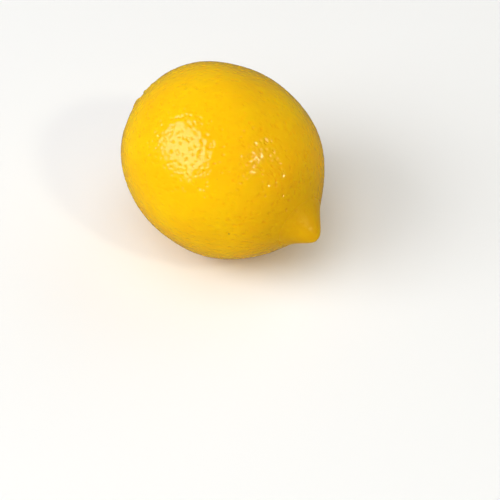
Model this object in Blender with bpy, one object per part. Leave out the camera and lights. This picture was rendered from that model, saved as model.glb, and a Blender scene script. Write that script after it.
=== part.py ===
"""A lemon lying on its side, with the stem button that stays on it when it is picked.

Metres, +Z up. The origin is on the surface that the lemon lies on, straight below the middle of its body.
The lemon's own axis runs from the stem end towards -X to the nipple towards +X, and dips a little at the nipple.
"""

import math
import random

import bmesh
import bpy
from mathutils import Vector
from mathutils.kdtree import KDTree

# The fruit's body, an oval turned about its own X axis
BODY_HALF_LENGTH = 0.0358
BODY_RADIUS = 0.0317

# How it lies: the middle of the body above the surface, and the dip of the nipple end
REST_HEIGHT = 0.0310
DIP = math.radians(4.1)

# The nipple, a knob on a wider skirt, which leans off the axis
KNOB_HEIGHT = 0.0051
KNOB_RADIUS = 0.0058
SKIRT_HEIGHT = 0.0034
SKIRT_RADIUS = 0.0092
NIPPLE_LEAN = (-0.0011, -0.0004)

# The stem end: a low collar round a hollow, with furrows that run out from it
COLLAR_RISE = 0.0011
COLLAR_RADIUS = 0.0082
COLLAR_WIDTH = 0.0030
HOLLOW_DEPTH = 0.0016
HOLLOW_RADIUS = 0.0062
FURROW_DEPTH = 0.0010
FURROW_RADIUS = 0.0100
FURROW_REACH = 0.0044
FURROW_HALF_WIDTH = math.radians(8)

# Where each furrow runs, in degrees round the axis, and how deep it is beside the deepest
FURROWS = (
    (12, 0.8), (46, 1.0), (71, 0.6), (98, 0.9), (118, 1.0), (158, 0.7),
    (193, 1.0), (231, 0.8), (262, 0.6), (297, 1.0), (334, 0.7),
)

# Broad swellings of the body: how fast each waves along X, Y and Z of a ball, its phase, and its height
SWELLINGS = (
    (3.4, 4.6, 1.8, 0.2, 0.00014),
    (-1.6, 3.8, 5.2, 3.4, 0.00024),
    (6.2, -2.4, 4.4, 4.0, 0.00005),
    (4.8, 6.6, -5.8, 0.5, 0.00015),
)

# Dimples of the peel, larger than life, and none where the fruit is pressed on the surface
DIMPLE_SPACING = 0.0029
DIMPLE_RADIUS = 0.0022
DIMPLE_DEPTH = 0.00036
SHALLOWEST_DIMPLE = 0.6
DIMPLE_LOWEST = 0.0020
DIMPLE_SEED = 5

# Grid squares along each edge of the cube that becomes the fruit, and how much they crowd to its two ends
CUBE_SQUARES = 30
END_CROWDING = 0.12

# The stem button: a five-lobed calyx with the clipped stem standing on it
BUTTON_GAP = 0.0003
CALYX_RADIUS = 0.0043
CALYX_LOBES = 5
CALYX_TURN = 0.4
LOBE_REACH = 0.0012
LOBE_SHARPNESS = 1.5
CALYX_RIM = 0.0006
CALYX_CROWN = 0.0014
STEM_RADIUS = 0.0016
STEM_HEIGHT = 0.0031
STEM_FLARE = 0.0005
CUT_HOLLOW = 0.0003
BUTTON_SIDES = 40

# The calyx from the middle of its underside round the rim to the stem: share of its reach, and height
CALYX_OUTLINE = (
    (0.35, 0.0),
    (0.70, 0.0),
    (0.95, 0.0),
    (1.00, 0.5 * CALYX_RIM),
    (0.95, CALYX_RIM),
    (0.80, 0.65 * CALYX_CROWN),
    (0.60, CALYX_CROWN),
)

# The stem from its foot to the middle of its cut: radius, and height
STEM_OUTLINE = (
    (STEM_RADIUS + STEM_FLARE, CALYX_CROWN + 0.5 * STEM_FLARE),
    (STEM_RADIUS, CALYX_CROWN + 2 * STEM_FLARE),
    (STEM_RADIUS, STEM_HEIGHT),
    (0.85 * STEM_RADIUS, STEM_HEIGHT + 0.5 * CUT_HOLLOW),
    (0.40 * STEM_RADIUS, STEM_HEIGHT - CUT_HOLLOW),
)

# Colours and roughness
PEEL_COLOUR = (0.93, 0.50, 0.01)
PEEL_ROUGHNESS = 0.38
STEM_COLOUR = (0.16, 0.15, 0.05)
STEM_ROUGHNESS = 0.75

# Edges sharper than this are drawn as edges, and corners nearer to a cut than this lie on it
SHARP_EDGE = math.radians(50)
CUT_TOLERANCE = 1e-6


def bell(distance, width):
    """1 at no distance, falling smoothly to nothing a few widths away."""
    return math.exp(-((distance / width) ** 2))


def nipple_height(radius):
    return KNOB_HEIGHT * bell(radius, KNOB_RADIUS) + SKIRT_HEIGHT * bell(radius, SKIRT_RADIUS)


def furrow(turn):
    """How far a place round the stem is down in a furrow, from 0 on a ridge to 1."""
    depth = 0.0
    for degrees, share in FURROWS:
        apart = math.remainder(turn - math.radians(degrees), math.tau)
        depth = max(depth, share * bell(apart, FURROW_HALF_WIDTH))
    return depth


def stem_end_height(radius, turn):
    """How far the stem end stands out from the plain oval."""
    collar = COLLAR_RISE * bell(radius - COLLAR_RADIUS, COLLAR_WIDTH)
    hollow = HOLLOW_DEPTH * math.exp(-((radius / HOLLOW_RADIUS) ** 4))
    furrows = FURROW_DEPTH * furrow(turn) * bell(radius - FURROW_RADIUS, FURROW_REACH)
    return collar - hollow - furrows


def swelling(direction):
    total = 0.0
    for along_x, along_y, along_z, phase, height in SWELLINGS:
        wave = along_x * direction.x + along_y * direction.y + along_z * direction.z
        total += height * math.sin(wave + phase)
    return total


def fruit_point(direction):
    """The point of the smooth fruit that lies in this direction of a ball, in the fruit's own frame."""
    radius = BODY_RADIUS * math.hypot(direction.y, direction.z)
    turn = math.atan2(direction.z, direction.y)
    point = Vector((BODY_HALF_LENGTH * direction.x, BODY_RADIUS * direction.y, BODY_RADIUS * direction.z))
    if direction.x > 0:
        point.x += nipple_height(radius)
        lean = bell(radius, KNOB_RADIUS)
        point.y += NIPPLE_LEAN[0] * lean
        point.z += NIPPLE_LEAN[1] * lean
    else:
        point.x -= stem_end_height(radius, turn)
    outwards = Vector(
        (direction.x / BODY_HALF_LENGTH, direction.y / BODY_RADIUS, direction.z / BODY_RADIUS)
    ).normalized()
    return point + outwards * swelling(direction)


def crowded(direction):
    """The direction moved towards the nearer end of the axis, so that the ends get smaller squares."""
    polar = math.acos(max(-1.0, min(1.0, direction.x)))
    turn = math.atan2(direction.z, direction.y)
    polar -= END_CROWDING * math.sin(2 * polar)
    return Vector((math.cos(polar), math.sin(polar) * math.cos(turn), math.sin(polar) * math.sin(turn)))


def even_ball(bm):
    """A cube cut into squares and blown up to a ball of radius 1."""
    bmesh.ops.create_cube(bm, size=2)
    bmesh.ops.subdivide_edges(bm, edges=bm.edges[:], cuts=CUBE_SQUARES - 1, use_grid_fill=True)
    for vert in bm.verts:
        vert.co = Vector([math.tan(c * math.pi / 4) for c in vert.co]).normalized()


def press_dimples(bm, to_world):
    """Presses a dimple at every so many corners of the mesh, unevenly spaced and never too near each other."""
    chance = random.Random(DIMPLE_SEED)
    bm.verts.ensure_lookup_table()
    bm.normal_update()
    tree = KDTree(len(bm.verts))
    for vert in bm.verts:
        tree.insert(vert.co, vert.index)
    tree.balance()
    is_free = [(to_world @ vert.co).z > DIMPLE_LOWEST for vert in bm.verts]
    pressed = [0.0] * len(bm.verts)
    order = list(range(len(bm.verts)))
    chance.shuffle(order)
    for centre in order:
        if not is_free[centre]:
            continue
        depth = DIMPLE_DEPTH * chance.uniform(SHALLOWEST_DIMPLE, 1)
        for _, near, distance in tree.find_range(bm.verts[centre].co, DIMPLE_SPACING):
            is_free[near] = False
            share = max(0.0, 1 - (distance / DIMPLE_RADIUS) ** 2)
            pressed[near] = max(pressed[near], depth * share)
    for vert in bm.verts:
        vert.co -= vert.normal * pressed[vert.index]


def flatten_underside(bm, to_world):
    """Cuts the fruit along the surface that it lies on and closes it with one flat face."""
    to_fruit = to_world.inverted()
    up = (to_fruit.to_3x3() @ Vector((0, 0, 1))).normalized()
    parts = bm.verts[:] + bm.edges[:] + bm.faces[:]
    cut = bmesh.ops.bisect_plane(
        bm, geom=parts, dist=CUT_TOLERANCE, plane_co=to_fruit.translation, plane_no=up, clear_inner=True
    )
    rim = [part for part in cut["geom_cut"] if isinstance(part, bmesh.types.BMEdge)]
    bmesh.ops.contextual_create(bm, geom=rim)
    bmesh.ops.recalc_face_normals(bm, faces=bm.faces[:])


def fruit_mesh(to_world):
    bm = bmesh.new()
    even_ball(bm)
    for vert in bm.verts:
        vert.co = fruit_point(crowded(vert.co))
    press_dimples(bm, to_world)
    flatten_underside(bm, to_world)
    return finished_mesh(bm, "lemon_fruit")


def button_point(radius, turn, height):
    """A point of the button, this high above the fruit under it, in the fruit's own frame."""
    direction = Vector((0, math.cos(turn), math.sin(turn))) * (radius / BODY_RADIUS)
    direction.x = -math.sqrt(1 - direction.length_squared)
    rise = stem_end_height(radius, turn) + swelling(direction) + BUTTON_GAP + height
    return Vector((BODY_HALF_LENGTH * direction.x - rise, BODY_RADIUS * direction.y, BODY_RADIUS * direction.z))


def calyx_reach(turn):
    """How far the calyx reaches from the stem, longer in its lobes."""
    lobe = 0.5 + 0.5 * math.cos(CALYX_LOBES * turn + CALYX_TURN)
    return CALYX_RADIUS + LOBE_REACH * lobe**LOBE_SHARPNESS


def button_rings():
    """The button's rings from the middle of its underside round the rim to the middle of the cut stem."""
    turns = [math.tau * side / BUTTON_SIDES for side in range(BUTTON_SIDES)]
    rings = []
    for share, height in CALYX_OUTLINE:
        rings.append([button_point(share * calyx_reach(turn), turn, height) for turn in turns])
    for radius, height in STEM_OUTLINE:
        rings.append([button_point(radius, turn, height) for turn in turns])
    return rings


def button_mesh():
    bm = bmesh.new()
    rings = [[bm.verts.new(point) for point in ring] for ring in button_rings()]
    for lower, upper in zip(rings, rings[1:]):
        for side in range(BUTTON_SIDES):
            after = (side + 1) % BUTTON_SIDES
            bm.faces.new((lower[side], lower[after], upper[after], upper[side]))
    for ring in (rings[0], rings[-1]):
        bmesh.ops.poke(bm, faces=[bm.faces.new(ring)])
    bmesh.ops.recalc_face_normals(bm, faces=bm.faces[:])
    return finished_mesh(bm, "stem_button")


def finished_mesh(bm, name):
    mesh = bpy.data.meshes.new(name)
    bm.to_mesh(mesh)
    bm.free()
    mesh.shade_smooth()
    mesh.set_sharp_from_angle(angle=SHARP_EDGE)
    return mesh


def plain_material(name, colour, roughness):
    material = bpy.data.materials.new(name)
    material.use_nodes = True
    shader = material.node_tree.nodes["Principled BSDF"]
    shader.inputs["Base Color"].default_value = (*colour, 1)
    shader.inputs["Roughness"].default_value = roughness
    shader.inputs["Metallic"].default_value = 0
    return material


def add_piece(name, mesh, material, parent):
    piece = bpy.data.objects.new(name, mesh)
    mesh.materials.append(material)
    piece.parent = parent
    bpy.context.scene.collection.objects.link(piece)


def main():
    for leftover in list(bpy.data.objects):
        bpy.data.objects.remove(leftover)
    lying = bpy.data.objects.new("lying_axis", None)
    lying.location = (0, 0, REST_HEIGHT)
    lying.rotation_euler = (0, DIP, 0)
    bpy.context.scene.collection.objects.link(lying)
    peel = plain_material("peel_yellow", PEEL_COLOUR, PEEL_ROUGHNESS)
    dry_green = plain_material("stem_dry_green", STEM_COLOUR, STEM_ROUGHNESS)
    add_piece("lemon_fruit", fruit_mesh(lying.matrix_basis), peel, lying)
    add_piece("stem_button", button_mesh(), dry_green, lying)


main()
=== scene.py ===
"""The looks of a lemon that lies on its side.

It has a pitted waxy peel, a nipple with its dry scar, a furrowed stem end and the dry stem button.
"""

import math

import bpy
from mathutils import Matrix, Vector


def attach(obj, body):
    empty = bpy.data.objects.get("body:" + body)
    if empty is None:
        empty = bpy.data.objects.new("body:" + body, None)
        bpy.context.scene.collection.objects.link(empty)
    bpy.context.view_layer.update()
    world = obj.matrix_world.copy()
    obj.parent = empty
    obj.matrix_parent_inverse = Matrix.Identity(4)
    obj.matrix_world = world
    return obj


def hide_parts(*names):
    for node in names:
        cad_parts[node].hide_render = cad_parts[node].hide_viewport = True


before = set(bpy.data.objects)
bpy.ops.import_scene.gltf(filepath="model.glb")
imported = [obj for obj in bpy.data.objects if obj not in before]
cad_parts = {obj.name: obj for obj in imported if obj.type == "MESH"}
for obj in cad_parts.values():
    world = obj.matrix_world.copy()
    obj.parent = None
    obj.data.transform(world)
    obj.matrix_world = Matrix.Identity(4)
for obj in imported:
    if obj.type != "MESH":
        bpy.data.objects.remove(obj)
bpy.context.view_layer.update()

# How the lemon lies, as the solids do: the height of its middle above the floor, and the nipple end's dip
REST_HEIGHT = 0.0310
DIP = math.radians(4.1)

# The fruit's body and its nipple, a knob on a wider skirt, which leans off the axis
FRUIT_SIZES = {
    "Half Length": 0.0358,
    "Body Radius": 0.0317,
    "Knob Height": 0.0051,
    "Knob Radius": 0.0058,
    "Skirt Height": 0.0034,
    "Skirt Radius": 0.0092,
    "Lean Sideways": -0.0011,
    "Lean Down": -0.0004,
    "Relief Share": 0.85,
}

# The peel's relief: the spacing, radius and depth of the oil glands' pits, and the size and height of two
# kinds of low lumps. The mesh takes the Relief Share of it, and the bump of the peel's material the rest
PITS = (0.0016, 0.00082, 0.00034)
PIT_WARP_SIZE = 0.0019
PIT_WARP = 0.0012
LEAST_PIT_RADIUS = 0.7
PIT_RADIUS_RANGE = 0.4
LEAST_PIT_DEPTH = 0.6
PIT_DEPTH_RANGE = 0.5
LUMPS = (0.0013, 0.00020)
PEBBLES = (0.0036, 0.00022)

# How much smoother the nipple is than the body, and where along the axis that begins and is complete
NIPPLE_SMOOTHNESS = 0.7
NIPPLE_START = 0.034
NIPPLE_TIP = 0.040

# The stem end: a low collar round a hollow, with furrows that run out from it
COLLAR_RISE = 0.0011
COLLAR_RADIUS = 0.0082
COLLAR_WIDTH = 0.0030
HOLLOW_DEPTH = 0.0016
HOLLOW_RADIUS = 0.0062
FURROW_DEPTH = 0.0010
FURROW_RADIUS = 0.0100
FURROW_REACH = 0.0044
FURROW_START = HOLLOW_RADIUS / 4
FURROW_HALF_WIDTH = math.radians(8)

# The dry scar at the nipple's tip: its middle across the axis, its radius, its depth and the rim round it,
# where its colour starts along the axis, how its colour fades out in radii, and its ragged edge
SCAR_Y = -0.0007
SCAR_Z = -0.0011
SCAR_RADIUS = 0.0009
SCAR_DEPTH = 0.0004
SCAR_RIM = 0.00012
SCAR_START = (0.036, 0.038)
SCAR_FADE = (0.3, 1.3)
SCAR_RAGGEDNESS = 0.0024
SCAR_RAG_SIZE = 0.0011

# Where each furrow runs, in degrees round the axis, and how deep it is beside the deepest
FURROWS = (
    (12, 0.8), (46, 1.0), (71, 0.6), (98, 0.9), (118, 1.0), (158, 0.7),
    (193, 1.0), (231, 0.8), (262, 0.6), (297, 1.0), (334, 0.7),
)

# Broad swellings of the body: how fast each waves along X, Y and Z of a ball, its phase, and its height
SWELLINGS = (
    (3.4, 4.6, 1.8, 0.2, 0.00014),
    (-1.6, 3.8, 5.2, 3.4, 0.00024),
    (6.2, -2.4, 4.4, 4.0, 0.00005),
    (4.8, 6.6, -5.8, 0.5, 0.00015),
)

# The mesh: corners along each edge of the cube that becomes the fruit, and how much they crowd to its ends
FRUIT_CORNERS = 129
END_CROWDING = 0.10

# The stem button: a five-lobed calyx with the clipped stem standing on it
BUTTON_GAP = 0.00005
CALYX_RADIUS = 0.0043
CALYX_LOBES = 5
CALYX_TURN = 0.4
LOBE_REACH = 0.0012
LOBE_SHARPNESS = 1.5
BUTTON_CORNERS_ROUND = 240
BUTTON_CORNERS_ALONG = 110
MERGE_DISTANCE = 5e-7

# The button's wrinkles and the creases on its top, whose sizes are in the button's radii: how large, how
# far stretched along it, how strong and how rough they are
WRINKLE_SIZE = 0.16
WRINKLE_STRETCH = 0.6
WRINKLE_SHARE = 0.16
WRINKLE_ROUGHNESS = 0.6
CREASE_SIZE = 0.11
CREASE_FLOOR = 0.3
CREASE_HEIGHT = 0.0009

# The button from the middle of its underside round the rim and up the stem to the middle of its cut:
# how far along, radius and height. The ranges say how far along its top, its bark and its cut begin
BUTTON_TOP = (0.24, 0.30)
BUTTON_BARK = (0.46, 0.56)
BUTTON_CUT = (0.79, 0.81)
BUTTON_OUTLINE = (
    (0.00, 0.0000, 0.0000),
    (0.24, 0.0041, 0.0000),
    (0.27, 0.0043, 0.0002),
    (0.30, 0.0041, 0.0005),
    (0.45, 0.0029, 0.0010),
    (0.53, 0.0022, 0.0016),
    (0.60, 0.0017, 0.0021),
    (0.76, 0.0016, 0.0030),
    (0.80, 0.0014, 0.0031),
    (0.86, 0.0009, 0.0029),
    (1.00, 0.0000, 0.0028),
)

# Dry specks on the peel: how far apart the places for one are, how many have one, its radius and its edge
SPECK_SPACING = 0.009
SPECK_SHARE = 0.25
SPECK_RADIUS = 0.00045
LEAST_SPECK_RADIUS = 0.5
SPECK_EDGE = (0.6, 1.0)

# The peel's colours, in linear light: two plain ones in broad patches, and the tints and painted shades on
# them, each as its strength and its colour
PEEL_COLOURS = ((0.97, 0.52, 0.0), (0.97, 0.56, 0.0))
PATCH_SIZE = 0.016
PATCH_EDGE = (0.35, 0.7)
# Painted shade in the pits, as strength and colour:
PIT_PAINTED_SHADE = (0.06, (0.93, 0.45, 0.0))
# Painted shade over the nipple end, as strength and colour:
NIPPLE_PAINTED_SHADE = (0.9, (0.70, 0.395, 0.0))
STEM_TINT = (0.5, (0.74, 0.52, 0.01))
# Painted shade in the stem end's furrows, as strength and colour:
FURROW_PAINTED_SHADE = (0.5, (0.50, 0.36, 0.01))
SPECK_TINT = (0.8, (0.25, 0.10, 0.02))
SCAR_COLOURS = ((0.13, 0.07, 0.015), (0.40, 0.26, 0.05))
MOTTLE_SIZE = 0.0006

# Where along the axis the nipple end's painted shade and the stem end's tint fade, and how far the stem end's
# tint reaches across it
NIPPLE_PAINTED_SHADE_FADE = (0.022, 0.038)
STEM_TINT_FADE = (-0.036, -0.031)
STEM_TINT_RADIUS = 0.012

# The peel's gloss, what the nipple and the scar add to its roughness, its fine grain, and how far light
# spreads under its surface
PEEL_ROUGHNESS = 0.09
NIPPLE_ROUGHNESS = 0.26
NIPPLE_GLOSS_FADE = (0.031, 0.038)
SCAR_ROUGHNESS = 0.5
PEEL_IOR = 1.45
GRAIN_SIZE = 0.0007
GRAIN_HEIGHT = 0.00001
LIGHT_REACH = 0.004
LIGHT_REACH_SHARES = (1.0, 0.8, 0.15)

# The button's colours: pairs mixed by noise or rings, and tints as strength and colour
CALYX_COLOURS = ((0.16, 0.095, 0.03), (0.40, 0.29, 0.11))
LOBE_TIP_TINT = (0.7, (0.10, 0.06, 0.02))
LOBE_TIP_FADE = (0.0036, 0.0053)
BARK_COLOURS = ((0.12, 0.10, 0.03), (0.30, 0.30, 0.11))
WOOD_COLOURS = ((0.66, 0.54, 0.34), (0.40, 0.29, 0.15))
RAY_TINT = (0.4, (0.24, 0.17, 0.08))
RAY_FADE = (0.5, 0.75)
PITH_COLOUR = (0.20, 0.13, 0.06)
PITH_RADIUS = 0.0003
CUT_EDGE_COLOUR = (0.16, 0.11, 0.04)
CUT_EDGE_FADE = (0.0015, 0.0018)
CUT_EDGE_WAVER = 0.0004
RING_STRENGTH = 0.5
RING_SPACING = 0.00052
RING_WAVER = 0.0002

# The button's noises: fine mottle, streaks that run along it, how both are sharpened, and their relief
FINE_SIZE = 0.0010
STREAK_SIZE = 0.0006
STREAK_SQUEEZE = (0.25, 1.0, 1.0)
BUTTON_NOISE_ROUGHNESS = 0.65
BUTTON_NOISE_EDGE = (0.35, 0.65)
FINE_HEIGHT = 0.00008
STREAK_HEIGHT = 0.00012
BUTTON_ROUGHNESS = 0.75

# The floor: half its side, how far it lies below the part, and its looks
FLOOR_HALF_SIDE = 6.0
FLOOR_DROP = 0.0001
FLOOR_COLOUR = (0.88, 0.88, 0.88)
FLOOR_ROUGHNESS = 0.9

# The camera and the place of the lemon in a picture of 500 by 500 pixels
PICTURE_SIDE = 500
CAMERA_AZIMUTH = math.radians(44.0)
CAMERA_ELEVATION = math.radians(49.2)
CAMERA_DISTANCE = 0.650
PIXELS_PER_METRE = 3000
LEMON_MIDDLE_PIXEL = (222.8, 160.8)
SENSOR_WIDTH = 36

# Each light: its direction from the lemon in the camera's right, up and back, its distance, width, height,
# turn about that direction and brightness, whether the peel's gloss mirrors it, and its colour
SURROUND_BRIGHTNESS = 0.13
WHITE = (1.0, 1.0, 1.0)
WARM = (1.0, 0.98, 0.75)
LIGHTS = {
    "main_soft_box": ((-0.748, 0.215, 0.628), 1.6, 1.16, 0.82, math.radians(-43), 3.8, True, WHITE),
    "small_lamp": ((0.540, 0.120, 0.833), 1.6, 0.17, 0.17, 0.0, 40.0, True, WARM),
    "left_cloth": ((-0.90, 0.15, 0.40), 2.2, 1.8, 1.8, 0.0, 0.75, False, WHITE),
    "front_left_cloth": ((-0.32, 0.18, 0.93), 2.2, 1.8, 1.8, 0.0, 1.6, False, WHITE),
    "top_cloth": ((0.00, 0.50, 0.87), 2.2, 1.8, 1.8, 0.0, 1.6, False, WHITE),
    "back_right_cloth": ((0.65, 0.75, 0.10), 2.2, 1.8, 1.8, 0.0, 0.75, False, WHITE),
}


class Wire:
    """A socket of a node tree on which arithmetic can be written: each operator adds its node."""

    def __init__(self, plan, socket):
        self.plan = plan
        self.socket = socket

    def out(self, name):
        """Another output of the same node."""
        return Wire(self.plan, self.plan.find(self.socket.node.outputs, name))

    def __add__(self, other):
        return self.plan.maths("ADD", self, other)

    def __radd__(self, other):
        return self.plan.maths("ADD", other, self)

    def __sub__(self, other):
        return self.plan.maths("SUBTRACT", self, other)

    def __rsub__(self, other):
        return self.plan.maths("SUBTRACT", other, self)

    def __mul__(self, other):
        return self.plan.maths("MULTIPLY", self, other)

    def __rmul__(self, other):
        return self.plan.maths("MULTIPLY", other, self)

    def __truediv__(self, other):
        return self.plan.maths("DIVIDE", self, other)

    def __rtruediv__(self, other):
        return self.plan.maths("DIVIDE", other, self)

    def __pow__(self, other):
        return self.plan.maths("POWER", self, other)

    def __neg__(self):
        return self.plan.maths("MULTIPLY", self, -1)


class Plan:
    """A node tree that is written as Python expressions."""

    def __init__(self, tree):
        self.tree = tree

    @staticmethod
    def find(sockets, name):
        """A socket by its number, or the one in use that has this name."""
        if isinstance(name, int):
            return sockets[name]
        return [socket for socket in sockets if socket.enabled and socket.name == name][0]

    def add(self, kind, settings, inputs, output=0):
        """Adds a node: first its settings, then the values or links of its sockets. Gives one output."""
        node = self.tree.nodes.new(kind)
        for name, value in settings.items():
            if name == "curve":
                self.set_curve(node.mapping, value)
            else:
                setattr(node, name, value)
        for name, value in inputs.items():
            socket = self.find(node.inputs, name)
            if isinstance(value, Wire):
                self.tree.links.new(value.socket, socket)
            else:
                socket.default_value = value
        return Wire(self, self.find(node.outputs, output))

    @staticmethod
    def set_curve(mapping, points):
        curve = mapping.curves[0]
        while len(curve.points) < len(points):
            curve.points.new(1, 1)
        for point, place in zip(curve.points, points):
            point.location = place
            point.handle_type = "AUTO_CLAMPED"
        mapping.update()

    def maths(self, operation, *values):
        return self.add("ShaderNodeMath", {"operation": operation}, dict(enumerate(values)))

    def vector_maths(self, operation, *values):
        return self.add("ShaderNodeVectorMath", {"operation": operation}, dict(enumerate(values)))

    def scaled(self, vector, factor):
        inputs = {"Vector": vector, "Scale": factor}
        return self.add("ShaderNodeVectorMath", {"operation": "SCALE"}, inputs)

    def length(self, first, second):
        """How far out a place lies whose two parts across the axis are given."""
        return self.maths("SQRT", first * first + second * second)

    def xyz(self, x, y, z):
        return self.add("ShaderNodeCombineXYZ", {}, {"X": x, "Y": y, "Z": z})

    def split(self, vector):
        part = self.add("ShaderNodeSeparateXYZ", {}, {"Vector": vector})
        return part, part.out("Y"), part.out("Z")

    def bell(self, distance, width):
        """1 at no distance, falling smoothly to nothing a few widths away."""
        share = distance / width
        return self.maths("EXPONENT", -(share * share))

    def step(self, value, low, high):
        """0 below low, 1 above high, and smooth between them."""
        settings = {"interpolation_type": "SMOOTHSTEP"}
        inputs = {"Value": value, "From Min": low, "From Max": high}
        return self.add("ShaderNodeMapRange", settings, inputs)

    def noise(self, place, size, detail, roughness=0.5, output=0):
        """Cloudy noise from 0 to 1, with lumps of about this size in the units of the place."""
        inputs = {"Vector": place, "Scale": 1 / size, "Detail": detail, "Roughness": roughness}
        return self.add("ShaderNodeTexNoise", {}, inputs, output)

    def mix_colour(self, share, first, second):
        first, second = (colour if isinstance(colour, Wire) else (*colour, 1) for colour in (first, second))
        inputs = {"Factor": share, "A": first, "B": second}
        return self.add("ShaderNodeMix", {"data_type": "RGBA"}, inputs, "Result")

    def tinted_or_shaded(self, skin, mask, tint):
        """The skin with a tint or a painted shade on it, given as strength and colour, where the mask is 1.
        """
        strength, colour = tint
        return self.mix_colour(strength * mask, skin, colour)

    def attribute(self, name, output="Fac"):
        return self.add("ShaderNodeAttribute", {"attribute_name": name}, {}, output)

    def bumped(self, height):
        inputs = {"Strength": 1.0, "Distance": 1.0, "Height": height}
        return self.add("ShaderNodeBump", {}, inputs, "Normal")


class ShapePlan(Plan):
    """A Geometry Nodes tree with named inputs for its sizes."""

    def __init__(self, name, sizes):
        tree = bpy.data.node_groups.new(name, "GeometryNodeTree")
        tree.interface.new_socket("Geometry", in_out="OUTPUT", socket_type="NodeSocketGeometry")
        self.identifiers = {}
        for size, value in sizes.items():
            socket = tree.interface.new_socket(size, in_out="INPUT", socket_type="NodeSocketFloat")
            socket.default_value = value
            self.identifiers[size] = socket.identifier
        super().__init__(tree)
        self.sizes = sizes
        self.group_input = tree.nodes.new("NodeGroupInput")

    def size(self, name):
        return Wire(self, self.group_input.outputs[name])

    def position(self):
        return self.add("GeometryNodeInputPosition", {}, {})

    def store(self, shape, name, value, data_type="FLOAT"):
        settings = {"data_type": data_type, "domain": "POINT"}
        inputs = {"Geometry": shape, "Name": name, "Value": value}
        return self.add("GeometryNodeStoreNamedAttribute", settings, inputs)

    def stored(self, name, data_type="FLOAT"):
        return self.add("GeometryNodeInputNamedAttribute", {"data_type": data_type}, {"Name": name})

    def finished_piece(self, shape, name, material):
        """Ends the tree and turns its result into a plain mesh piece."""
        shape = self.add("GeometryNodeSetShadeSmooth", {}, {"Geometry": shape})
        shape = self.add("GeometryNodeRealizeInstances", {}, {"Geometry": shape})
        shape = self.add("GeometryNodeSetMaterial", {}, {"Geometry": shape, "Material": material})
        result = self.tree.nodes.new("NodeGroupOutput")
        self.tree.links.new(shape.socket, result.inputs["Geometry"])
        piece = bpy.data.objects.new(name, bpy.data.meshes.new(name + "_blank"))
        bpy.context.scene.collection.objects.link(piece)
        modifier = piece.modifiers.new("shape", "NODES")
        modifier.node_group = self.tree
        for size, value in self.sizes.items():
            modifier[self.identifiers[size]] = value
        graph = bpy.context.evaluated_depsgraph_get()
        mesh = bpy.data.meshes.new_from_object(piece.evaluated_get(graph))
        mesh.name = name
        piece.modifiers.clear()
        piece.data = mesh
        return piece


def furrow(plan, turn):
    """How far a place round the stem is down in a furrow, from 0 on a ridge to 1."""
    depth = 0.0
    for degrees, share in FURROWS:
        apart = plan.maths("WRAP", turn - math.radians(degrees), math.pi, -math.pi)
        depth = plan.maths("MAXIMUM", share * plan.bell(apart, FURROW_HALF_WIDTH), depth)
    return depth


def stem_end_height(plan, radius, turn):
    """How far the stem end stands out from the plain oval."""
    collar = COLLAR_RISE * plan.bell(radius - COLLAR_RADIUS, COLLAR_WIDTH)
    hollow = HOLLOW_DEPTH * plan.maths("EXPONENT", -((radius / HOLLOW_RADIUS) ** 4))
    furrows = FURROW_DEPTH * furrow(plan, turn) * plan.bell(radius - FURROW_RADIUS, FURROW_REACH)
    off_axis = plan.step(radius, 0.0, FURROW_START)
    return collar - hollow - furrows * off_axis


def scar_distance(plan, y, z):
    """How far a place of the nipple lies from the middle of its scar, across the axis."""
    return plan.length(y - SCAR_Y, z - SCAR_Z)


def swelling(plan, x, y, z):
    total = 0.0
    for along_x, along_y, along_z, phase, height in SWELLINGS:
        wave = along_x * x + along_y * y + along_z * z
        total = height * plan.maths("SINE", wave + phase) + total
    return total


def even_ball(plan):
    """A cube of small squares, with the direction on a ball that each corner goes to, crowded to its ends."""
    corners = FRUIT_CORNERS
    inputs = {"Size": (2, 2, 2), "Vertices X": corners, "Vertices Y": corners, "Vertices Z": corners}
    cube = plan.add("GeometryNodeMeshCube", {}, inputs, "Mesh")
    bent = [plan.maths("TANGENT", part * (math.pi / 4)) for part in plan.split(plan.position())]
    x, y, z = plan.split(plan.vector_maths("NORMALIZE", plan.xyz(*bent)))
    polar = plan.maths("ARCCOSINE", x)
    polar = polar - END_CROWDING * plan.maths("SINE", 2 * polar)
    turn = plan.maths("ARCTAN2", z, y)
    spread = plan.maths("SINE", polar)
    across_y = spread * plan.maths("COSINE", turn)
    across_z = spread * plan.maths("SINE", turn)
    direction = plan.xyz(plan.maths("COSINE", polar), across_y, across_z)
    return plan.store(cube, "direction", direction, "FLOAT_VECTOR")


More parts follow.
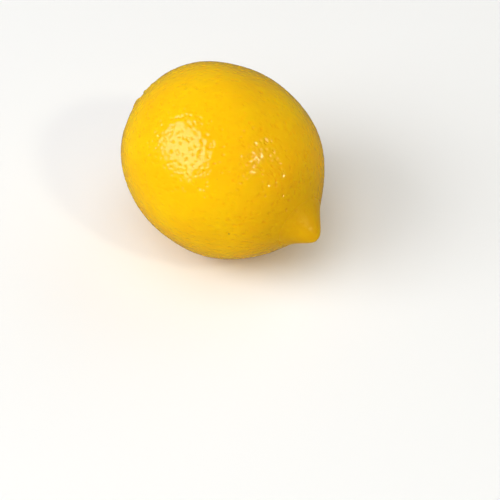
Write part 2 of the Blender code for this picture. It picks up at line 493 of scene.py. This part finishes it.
def smooth_fruit(plan, ball):
    """The fruit without its pits, in its own frame: axis along X, nipple at +X."""
    direction = plan.stored("direction", "FLOAT_VECTOR")
    x, y, z = plan.split(direction)
    body_radius = plan.size("Body Radius")
    half_length = plan.size("Half Length")
    radius = body_radius * plan.length(y, z)
    turn = plan.maths("ARCTAN2", z, y)
    at_nipple = plan.maths("GREATER_THAN", x, 0.0)
    knob = plan.bell(radius, plan.size("Knob Radius")) * at_nipple
    skirt = plan.bell(radius, plan.size("Skirt Radius")) * at_nipple
    nipple = plan.size("Knob Height") * knob + plan.size("Skirt Height") * skirt
    across_y = body_radius * y + plan.size("Lean Sideways") * knob
    across_z = body_radius * z + plan.size("Lean Down") * knob
    from_scar = scar_distance(plan, across_y, across_z)
    scar = SCAR_RIM * plan.bell(from_scar - SCAR_RADIUS, SCAR_RADIUS / 2)
    scar = scar - SCAR_DEPTH * plan.bell(from_scar, SCAR_RADIUS)
    nipple = nipple + scar * at_nipple
    stem_end = stem_end_height(plan, radius, turn) * (1 - at_nipple)
    oval = plan.xyz(half_length * x + nipple - stem_end, across_y, across_z)
    outwards = plan.xyz(x / half_length, y / body_radius, z / body_radius)
    swell = plan.scaled(plan.vector_maths("NORMALIZE", outwards), swelling(plan, x, y, z))
    place = plan.vector_maths("ADD", oval, swell)
    shape = plan.add("GeometryNodeSetPosition", {}, {"Geometry": ball, "Position": place})
    return plan.store(shape, "furrow", furrow(plan, turn) * (1 - at_nipple))


def gland_pits(plan, place):
    """How deep a place lies in an oil gland's pit: uneven round hollows whose middles lie at random."""
    spacing, radius, depth = PITS
    cloud = plan.noise(place, PIT_WARP_SIZE, detail=0.0, output="Color")
    warp = plan.scaled(plan.vector_maths("SUBTRACT", cloud, (0.5, 0.5, 0.5)), PIT_WARP)
    place = plan.vector_maths("ADD", place, warp)
    cell = plan.add("ShaderNodeTexVoronoi", {}, {"Vector": place, "Scale": 1 / spacing}, "Distance")
    size, lot, _ = plan.split(cell.out("Color"))
    reach = LEAST_PIT_RADIUS + PIT_RADIUS_RANGE * size
    share = plan.maths("MAXIMUM", 1 - (cell * (spacing / radius) / reach) ** 2, 0.0)
    return depth * (LEAST_PIT_DEPTH + PIT_DEPTH_RANGE * lot) * share * share


def peel_relief(plan, place):
    """How far the peel stands above the plain shape at a place of it."""
    lumps = plan.noise(place, LUMPS[0], detail=1.0) - 0.5
    pebbles = plan.noise(place, PEBBLES[0], detail=1.0) - 0.5
    x, _, _ = plan.split(place)
    evenness = 1 - NIPPLE_SMOOTHNESS * plan.step(x, NIPPLE_START, NIPPLE_TIP)
    return evenness * (LUMPS[1] * lumps + PEBBLES[1] * pebbles - gland_pits(plan, place))


def pitted(plan, shape):
    """Presses the oil glands' pits into the peel, and raises the low lumps between them."""
    place = plan.position()
    shape = plan.store(shape, "fruit_place", place, "FLOAT_VECTOR")
    lift = peel_relief(plan, place) * plan.size("Relief Share")
    offset = plan.scaled(plan.add("GeometryNodeInputNormal", {}, {}), lift)
    return plan.add("GeometryNodeSetPosition", {}, {"Geometry": shape, "Offset": offset})


def laid_down(plan, shape):
    """Tips the piece as the lemon lies, raises it, and presses flat what would go below the floor."""
    place = {"Geometry": shape, "Translation": (0, 0, REST_HEIGHT), "Rotation": (0, DIP, 0)}
    shape = plan.add("GeometryNodeTransform", {}, place)
    x, y, z = plan.split(plan.position())
    on_floor = plan.xyz(x, y, plan.maths("MAXIMUM", z, 0.0))
    return plan.add("GeometryNodeSetPosition", {}, {"Geometry": shape, "Position": on_floor})


def make_fruit():
    plan = ShapePlan("lemon_fruit_shape", FRUIT_SIZES)
    shape = smooth_fruit(plan, even_ball(plan))
    shape = laid_down(plan, pitted(plan, shape))
    return plan.finished_piece(shape, "lemon_peel", peel_material())


def make_button():
    """The calyx and the clipped stem, turned from one outline, lobed at its rim and lying on the fruit."""
    sizes = {name: FRUIT_SIZES[name] for name in ("Half Length", "Body Radius")}
    plan = ShapePlan("stem_button_shape", sizes)
    half_length = plan.size("Half Length")
    body_radius = plan.size("Body Radius")
    grid = {"Size X": 1.0, "Size Y": 1.0}
    grid.update({"Vertices X": BUTTON_CORNERS_ROUND, "Vertices Y": BUTTON_CORNERS_ALONG})
    shape = plan.add("GeometryNodeMeshGrid", {}, grid, "Mesh")
    x, y, _ = plan.split(plan.position())
    turn = x * math.tau
    along = y + 0.5
    widths = [(place, radius / CALYX_RADIUS) for place, radius, _ in BUTTON_OUTLINE]
    heights = [(place, height / CALYX_RADIUS) for place, _, height in BUTTON_OUTLINE]
    width = plan.add("ShaderNodeFloatCurve", {"curve": widths}, {"Value": along})
    height = CALYX_RADIUS * plan.add("ShaderNodeFloatCurve", {"curve": heights}, {"Value": along})
    lobe = (0.5 + 0.5 * plan.maths("COSINE", CALYX_LOBES * turn + CALYX_TURN)) ** LOBE_SHARPNESS
    radius = CALYX_RADIUS * width + LOBE_REACH * lobe * width**3
    round_place = plan.xyz(plan.maths("COSINE", turn), plan.maths("SINE", turn), WRINKLE_STRETCH * along)
    wrinkle = plan.noise(round_place, WRINKLE_SIZE, detail=2.0, roughness=WRINKLE_ROUGHNESS) - 0.5
    radius = radius * (1 + WRINKLE_SHARE * wrinkle)
    crease = plan.noise(round_place, CREASE_SIZE, detail=2.0, roughness=WRINKLE_ROUGHNESS) - CREASE_FLOOR
    height = height + CREASE_HEIGHT * plan.step(along, *BUTTON_TOP) * crease * width
    across_y = radius * plan.maths("COSINE", turn)
    across_z = radius * plan.maths("SINE", turn)
    inwards = plan.maths("SQRT", 1 - (radius / body_radius) ** 2)
    swell = swelling(plan, -inwards, across_y / body_radius, across_z / body_radius)
    out = half_length * inwards + stem_end_height(plan, radius, turn) + swell + BUTTON_GAP + height
    shape = plan.store(shape, "button_along", along)
    place = plan.xyz(-out, across_y, across_z)
    shape = plan.store(shape, "fruit_place", place, "FLOAT_VECTOR")
    place = plan.stored("fruit_place", "FLOAT_VECTOR")
    shape = plan.add("GeometryNodeSetPosition", {}, {"Geometry": shape, "Position": place})
    shape = plan.add("GeometryNodeMergeByDistance", {}, {"Geometry": shape, "Distance": MERGE_DISTANCE})
    shape = plan.add("GeometryNodeFlipFaces", {}, {"Mesh": shape})
    shape = laid_down(plan, shape)
    return plan.finished_piece(shape, "dry_stem_button", button_material())


def blank_material(name):
    material = bpy.data.materials.new(name)
    material.use_nodes = True
    return material, Plan(material.node_tree), material.node_tree.nodes["Principled BSDF"]


def feed(plan, shader, **inputs):
    """Sets or links sockets of the shader, whose names are given with _ for a space."""
    for name, value in inputs.items():
        socket = shader.inputs[name.replace("_", " ")]
        if isinstance(value, Wire):
            plan.tree.links.new(value.socket, socket)
        else:
            socket.default_value = value


def scattered_specks(plan, place):
    """Dry specks on the peel, of which there are few: 1 in a speck, 0 around it."""
    inputs = {"Vector": place, "Scale": 1 / SPECK_SPACING}
    cell = plan.add("ShaderNodeTexVoronoi", {}, inputs, "Distance")
    lot, size, _ = plan.split(cell.out("Color"))
    is_speck = plan.maths("GREATER_THAN", lot, 1 - SPECK_SHARE)
    reach = SPECK_RADIUS * (LEAST_SPECK_RADIUS + size)
    return is_speck * (1 - plan.step(cell * SPECK_SPACING / reach, *SPECK_EDGE))


def peel_material():
    """Waxy yellow peel: painted shade in its pits, furrows and nipple end, a deeper, greener stem end,
    specks, the nipple's scar.
    """
    material, plan, shader = blank_material("lemon_peel")
    place = plan.attribute("fruit_place", "Vector")
    x, y, z = plan.split(place)
    at_nipple = plan.step(x, *NIPPLE_PAINTED_SHADE_FADE)
    at_stem = (1 - plan.step(x, *STEM_TINT_FADE)) * plan.bell(plan.length(y, z), STEM_TINT_RADIUS)
    mottle = plan.noise(place, MOTTLE_SIZE, detail=3.0)
    patch = plan.step(plan.noise(place, PATCH_SIZE, detail=3.0), *PATCH_EDGE)
    skin = plan.mix_colour(patch, *PEEL_COLOURS)
    # Painted shade in the oil glands' pits, darkest where a pit is deepest
    skin = plan.tinted_or_shaded(skin, gland_pits(plan, place) / PITS[2], PIT_PAINTED_SHADE)
    # Painted shade over the nipple end, darkening it towards its tip
    skin = plan.tinted_or_shaded(skin, at_nipple, NIPPLE_PAINTED_SHADE)
    skin = plan.tinted_or_shaded(skin, at_stem, STEM_TINT)
    # Painted shade down in the stem end's furrows
    skin = plan.tinted_or_shaded(skin, plan.attribute("furrow") * at_stem, FURROW_PAINTED_SHADE)
    skin = plan.tinted_or_shaded(skin, scattered_specks(plan, place) * mottle, SPECK_TINT)
    rag = plan.noise(place, SCAR_RAG_SIZE, detail=2.0) - 0.5
    from_scar = scar_distance(plan, y, z) + SCAR_RAGGEDNESS * rag
    out_of_scar = plan.step(from_scar, *(SCAR_RADIUS * share for share in SCAR_FADE))
    in_scar = plan.step(x, *SCAR_START) * (1 - out_of_scar)
    skin = plan.mix_colour(in_scar, skin, plan.mix_colour(mottle, *SCAR_COLOURS))
    grain = GRAIN_HEIGHT * plan.noise(place, GRAIN_SIZE, detail=2.0)
    relief = (1 - FRUIT_SIZES["Relief Share"]) * peel_relief(plan, place)
    roughness = PEEL_ROUGHNESS + NIPPLE_ROUGHNESS * plan.step(x, *NIPPLE_GLOSS_FADE)
    feed(
        plan,
        shader,
        Base_Color=skin,
        Roughness=roughness + SCAR_ROUGHNESS * in_scar,
        IOR=PEEL_IOR,
        Normal=plan.bumped(grain + relief),
        Subsurface_Weight=1.0,
        Subsurface_Radius=LIGHT_REACH_SHARES,
        Subsurface_Scale=LIGHT_REACH,
    )
    return material


def button_material():
    """Dry calyx with dark lobe tips, ridged greenish bark, and the pale ringed wood of the cut."""
    material, plan, shader = blank_material("dry_stem")
    place = plan.attribute("fruit_place", "Vector")
    _, y, z = plan.split(place)
    radius = plan.length(y, z)
    along = plan.attribute("button_along")
    squeezed = plan.vector_maths("MULTIPLY", place, STREAK_SQUEEZE)
    fine = plan.noise(place, FINE_SIZE, detail=4.0, roughness=BUTTON_NOISE_ROUGHNESS)
    streak = plan.noise(squeezed, STREAK_SIZE, detail=3.0, roughness=BUTTON_NOISE_ROUGHNESS)
    calyx = plan.mix_colour(plan.step(fine, *BUTTON_NOISE_EDGE), *CALYX_COLOURS)
    calyx = plan.tinted_or_shaded(calyx, plan.step(radius, *LOBE_TIP_FADE), LOBE_TIP_TINT)
    bark = plan.mix_colour(plan.step(streak, *BUTTON_NOISE_EDGE), *BARK_COLOURS)
    skin = plan.mix_colour(plan.step(along, *BUTTON_BARK), calyx, bark)
    ring = 0.5 + 0.5 * plan.maths("SINE", (radius + RING_WAVER * fine) * (math.tau / RING_SPACING))
    wood = plan.mix_colour(RING_STRENGTH * ring, *WOOD_COLOURS)
    wood = plan.tinted_or_shaded(wood, plan.step(streak, *RAY_FADE), RAY_TINT)
    wood = plan.mix_colour(plan.bell(radius, PITH_RADIUS), wood, PITH_COLOUR)
    at_edge = plan.step(radius + CUT_EDGE_WAVER * fine, *CUT_EDGE_FADE)
    wood = plan.mix_colour(at_edge, wood, CUT_EDGE_COLOUR)
    skin = plan.mix_colour(plan.step(along, *BUTTON_CUT), skin, wood)
    bump = plan.bumped(FINE_HEIGHT * fine + STREAK_HEIGHT * streak)
    feed(plan, shader, Base_Color=skin, Roughness=BUTTON_ROUGHNESS, Normal=bump)
    return material


def plain_floor():
    """A wide pale floor."""
    mesh = bpy.data.meshes.new("floor")
    side = FLOOR_HALF_SIDE
    corners = [(-side, -side, 0), (side, -side, 0), (side, side, 0), (-side, side, 0)]
    mesh.from_pydata(corners, [], [(0, 1, 2, 3)])
    material, plan, shader = blank_material("pale_floor")
    feed(plan, shader, Base_Color=(*FLOOR_COLOUR, 1), Roughness=FLOOR_ROUGHNESS)
    mesh.materials.append(material)
    floor = bpy.data.objects.new("floor", mesh)
    floor.location.z = -FLOOR_DROP
    floor.visible_glossy = False
    bpy.context.scene.collection.objects.link(floor)


def camera_axes():
    """The camera's right, up and backward directions."""
    back = Vector(
        (
            math.sin(CAMERA_AZIMUTH) * math.cos(CAMERA_ELEVATION),
            -math.cos(CAMERA_AZIMUTH) * math.cos(CAMERA_ELEVATION),
            math.sin(CAMERA_ELEVATION),
        )
    )
    right = Vector((math.cos(CAMERA_AZIMUTH), math.sin(CAMERA_AZIMUTH), 0))
    return right, back.cross(right), back


def place_camera():
    right, up, back = camera_axes()
    camera = bpy.data.cameras.new("camera")
    camera.sensor_width = SENSOR_WIDTH
    camera.lens = SENSOR_WIDTH * PIXELS_PER_METRE * CAMERA_DISTANCE / PICTURE_SIDE
    off_right = (PICTURE_SIDE / 2 - LEMON_MIDDLE_PIXEL[0]) / PIXELS_PER_METRE
    off_up = (LEMON_MIDDLE_PIXEL[1] - PICTURE_SIDE / 2) / PIXELS_PER_METRE
    aim = Vector((0, 0, REST_HEIGHT)) + right * off_right + up * off_up
    item = bpy.data.objects.new("camera", camera)
    item.location = aim + back * CAMERA_DISTANCE
    item.rotation_euler = back.to_track_quat("Z", "Y").to_euler()
    bpy.context.scene.collection.objects.link(item)
    bpy.context.scene.camera = item


def soft_box(name, direction, distance, width, height, turn, radiance, is_glossy, tint):
    """A soft light that shines at the lemon from this direction, in the camera's right, up and back."""
    right, up, back = camera_axes()
    light = bpy.data.lights.new(name, "AREA")
    light.shape = "RECTANGLE"
    light.size = width
    light.size_y = height
    light.energy = radiance * math.pi * width * height
    light.color = tint
    item = bpy.data.objects.new(name, light)
    towards = (right * direction[0] + up * direction[1] + back * direction[2]).normalized()
    item.location = Vector((0, 0, REST_HEIGHT)) + towards * distance
    side = up.cross(towards).normalized()
    facing = Matrix((side, towards.cross(side), towards)).transposed()
    item.rotation_euler = (facing @ Matrix.Rotation(turn, 3, "Z")).to_euler()
    item.visible_glossy = is_glossy
    item.visible_camera = False
    bpy.context.scene.collection.objects.link(item)


def light_studio():
    """The soft lights in a dim pale surround."""
    world = bpy.data.worlds.new("studio")
    world.use_nodes = True
    surround = world.node_tree.nodes["Background"]
    surround.inputs["Color"].default_value = (1, 1, 1, 1)
    surround.inputs["Strength"].default_value = SURROUND_BRIGHTNESS
    bpy.context.scene.world = world
    for name, light in LIGHTS.items():
        soft_box(name, *light)
    bpy.context.scene.view_settings.view_transform = "Standard"


def main():
    place_camera()
    light_studio()
    plain_floor()
    fruit = make_fruit()
    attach(fruit, "root")
    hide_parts("lemon_fruit")
    button = make_button()
    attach(button, "root")
    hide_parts("stem_button")


main()
